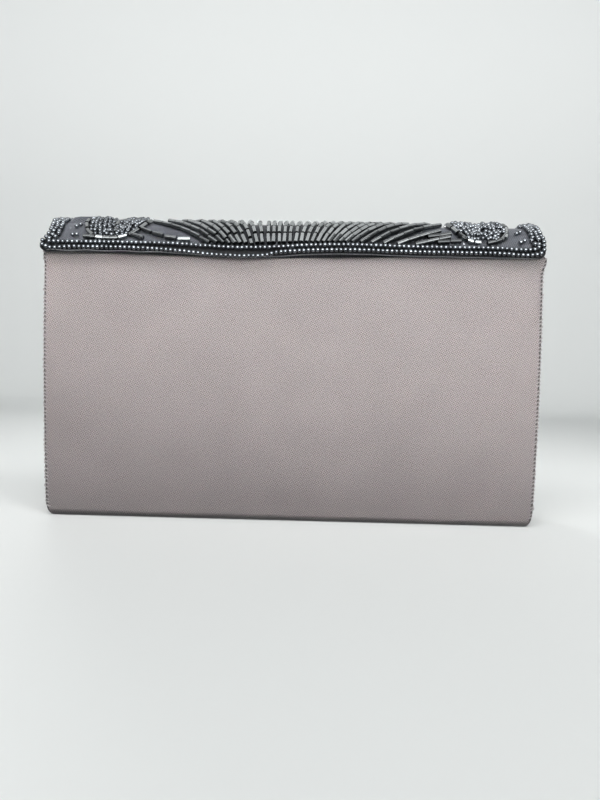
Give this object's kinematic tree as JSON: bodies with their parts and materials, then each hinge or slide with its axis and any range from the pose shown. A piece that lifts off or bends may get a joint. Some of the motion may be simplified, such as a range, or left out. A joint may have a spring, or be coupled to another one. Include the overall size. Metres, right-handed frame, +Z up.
{
  "type": "beaded clutch",
  "caption": "Boxy flap-over evening clutch in mauve-grey satin, its flap edged with strings of seed beads and set with a fan of bugle beads and beaded leaves.",
  "frame": {"origin": "middle of the clutch, on the surface that it stands on", "axes": "+X along its length, to the right as the plain back is seen; +Y from the back panel to the flap's front; +Z up"},
  "size_m": [0.2176, 0.0464, 0.1353],
  "materials": {
    "satin": "mauve-grey twill-back satin with a soft sheen",
    "flap_cloth": "blue-grey satin ground of the beadwork",
    "seed_beads": "gunmetal-lustred glass seed beads",
    "bugle_beads": "gunmetal-lustred glass bugles",
    "snap_metal": "plain nickel"
  },
  "bodies": {
    "root": {"body_wrap": "satin", "gusset_left": "satin", "gusset_right": "satin", "flap": "flap_cloth", "bead_row_outer": "seed_beads", "bead_row_middle": "seed_beads", "bead_row_inner": "seed_beads", "bugle_fan": "bugle_beads", "bugle_strand": "bugle_beads", "leaf_left_outer": "seed_beads", "leaf_left_inner": "seed_beads", "leaf_right_inner": "seed_beads", "leaf_right_outer": "seed_beads", "snap": "snap_metal"}
  },
  "joints": []
}
